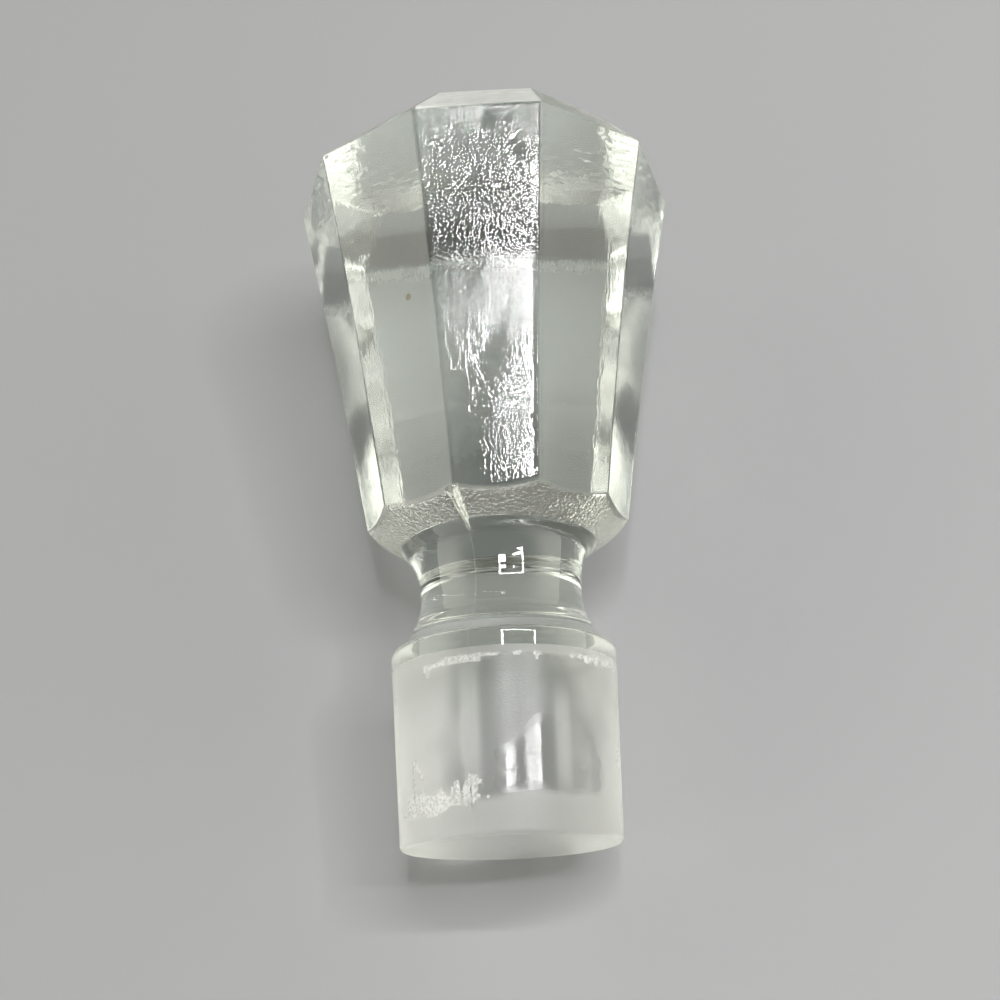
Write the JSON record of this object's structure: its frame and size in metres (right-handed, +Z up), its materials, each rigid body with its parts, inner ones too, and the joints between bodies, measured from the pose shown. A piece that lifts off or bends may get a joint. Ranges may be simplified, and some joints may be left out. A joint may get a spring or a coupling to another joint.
{
  "type": "glass stopper",
  "caption": "Solid pressed-glass bottle stopper lying on its side: panelled tapering crown with a bevelled cap, waisted neck and a ground tapered plug.",
  "frame": {"origin": "on the ground, under the middle of the stopper's box as it lies", "axes": "+Z up; +Y towards the cap end, along the stopper's length as it lies; +X to the right"},
  "size_m": [0.046, 0.0874, 0.0434],
  "materials": {
    "clear_glass": "old pressed glass with a faint sage tint: orange-peel on the panels, textured underside, clear neck, satin ground plug"
  },
  "bodies": {
    "root": {"stopper": "clear_glass"}
  },
  "joints": []
}
